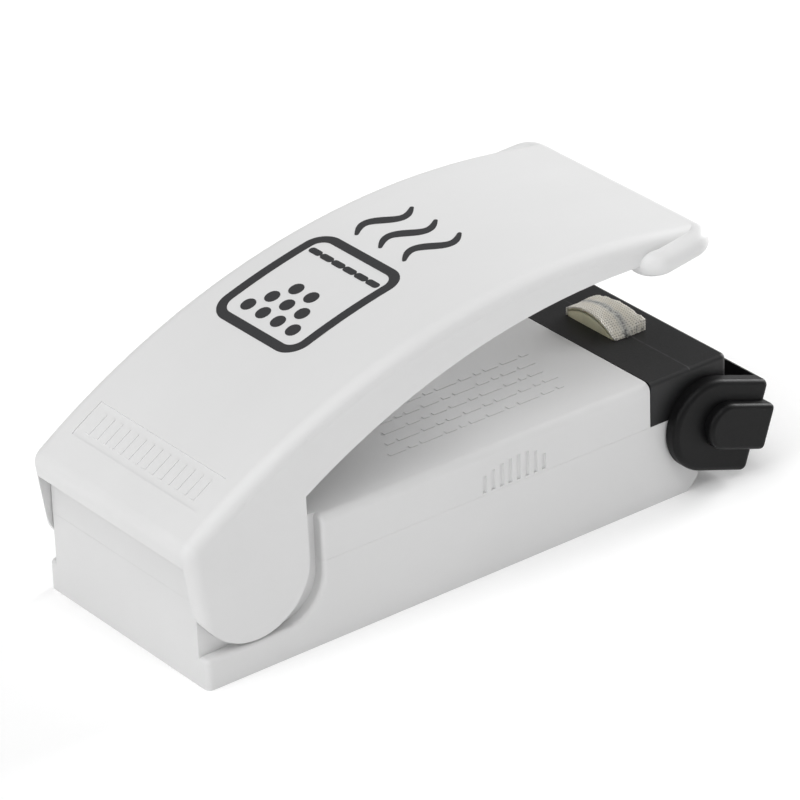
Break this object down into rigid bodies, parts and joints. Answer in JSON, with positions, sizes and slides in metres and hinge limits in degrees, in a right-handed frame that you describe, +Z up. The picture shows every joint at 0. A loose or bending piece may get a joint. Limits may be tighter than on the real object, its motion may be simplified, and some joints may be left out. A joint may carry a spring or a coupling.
{
  "type": "handheld bag heat sealer",
  "caption": "Handheld battery bag sealer: a sprung lever hinged at the rear presses a bag on to a small heating pad at the front, with a swinging safety guard over the heater.",
  "frame": {"origin": "on the flat bottom, under the middle of the whole object's length and width", "axes": "+X towards the heater and guard end, +Y to the left of that direction, +Z up through the lever"},
  "size_m": [0.0958, 0.044, 0.0416],
  "materials": {
    "white_housing": "fine satin moulded ABS",
    "white_lever": "fine satin moulded ABS",
    "black_housing": "satin heat-resistant plastic",
    "black_guard": "satin moulded plastic",
    "press_silicone": "matte silicone",
    "pad_silicone": "matte silicone",
    "glass_cloth": "woven PTFE-coated glass cloth",
    "nichrome": "thin rolled strip",
    "screw_steel": "zinc plated",
    "spring_steel": "drawn wire",
    "brass_strip": "stamped strip",
    "blade_bronze": "spring bronze strip",
    "nickel_plate": "nickel-plated sheet",
    "cell_steel": "bare can ends",
    "cell_sleeve": "printed shrink sleeve",
    "red_wire": "PVC insulation",
    "black_wire": "PVC insulation"
  },
  "bodies": {
    "housing": {"lower_housing": "white_housing", "upper_housing": "white_housing", "housing_screws": "screw_steel", "return_spring": "spring_steel", "heater_block": "black_housing", "heater_core": "pad_silicone", "heating_ribbon": "nichrome", "heater_cloth": "glass_cloth", "terminal_near": "brass_strip", "terminal_far": "brass_strip", "terminal_screws": "screw_steel", "switch_fixed_contact": "brass_strip", "lead_wire_positive": "red_wire", "lead_wire_switch": "black_wire", "rear_contact_plate": "nickel_plate", "rear_contact_spring": "spring_steel", "front_positive_contact": "nickel_plate", "front_negative_contact": "nickel_plate", "front_contact_spring": "spring_steel"},
    "lever": {"lever_arm": "white_lever", "press_pad": "press_silicone"},
    "guard": {"guard": "black_guard"},
    "battery_door": {"battery_door": "white_housing"},
    "cell_near": {"cell_near": "cell_steel", "cell_near_sleeve": "cell_sleeve"},
    "cell_far": {"cell_far": "cell_steel", "cell_far_sleeve": "cell_sleeve"},
    "switch_blade": {"switch_blade": "blade_bronze"}
  },
  "joints": [
    {"name": "lever_hinge", "type": "hinge", "parent": "housing", "child": "lever", "pos_m": [-0.0377, 0, 0.0136], "axis": [0, -1, 0], "range_deg": [-10.8, 0], "stiffness_Nm_per_rad": 0.6, "springref_deg": 22.92, "deforming": ["return_spring"]},
    {"name": "guard_hinge", "type": "hinge", "parent": "housing", "child": "guard", "pos_m": [0.03453, 0, 0.01185], "axis": [0, -1, 0], "range_deg": [0, 109]},
    {"name": "battery_door_slide", "type": "slide", "parent": "housing", "child": "battery_door", "axis": [-1, 0, 0], "range_m": [0, 0.004]},
    {"name": "cell_near_slide", "type": "slide", "parent": "housing", "child": "cell_near", "axis": [-1, 0, 0], "range_m": [0, 0.0015], "stiffness_N_per_m": 800, "springref_m": -0.004, "deforming": ["rear_contact_spring"]},
    {"name": "cell_far_slide", "type": "slide", "parent": "housing", "child": "cell_far", "axis": [1, 0, 0], "range_m": [0, 0.0015], "stiffness_N_per_m": 800, "springref_m": -0.004, "deforming": ["front_contact_spring"]},
    {"name": "switch_blade_hinge", "type": "hinge", "parent": "housing", "child": "switch_blade", "pos_m": [0.0316, 0.0095, 0.0142], "axis": [0, -1, 0], "range_deg": [0, 6.6]}
  ],
  "couplings": [
    {"joint": "switch_blade_hinge", "follows": "lever_hinge", "ratio": -0.6}
  ]
}
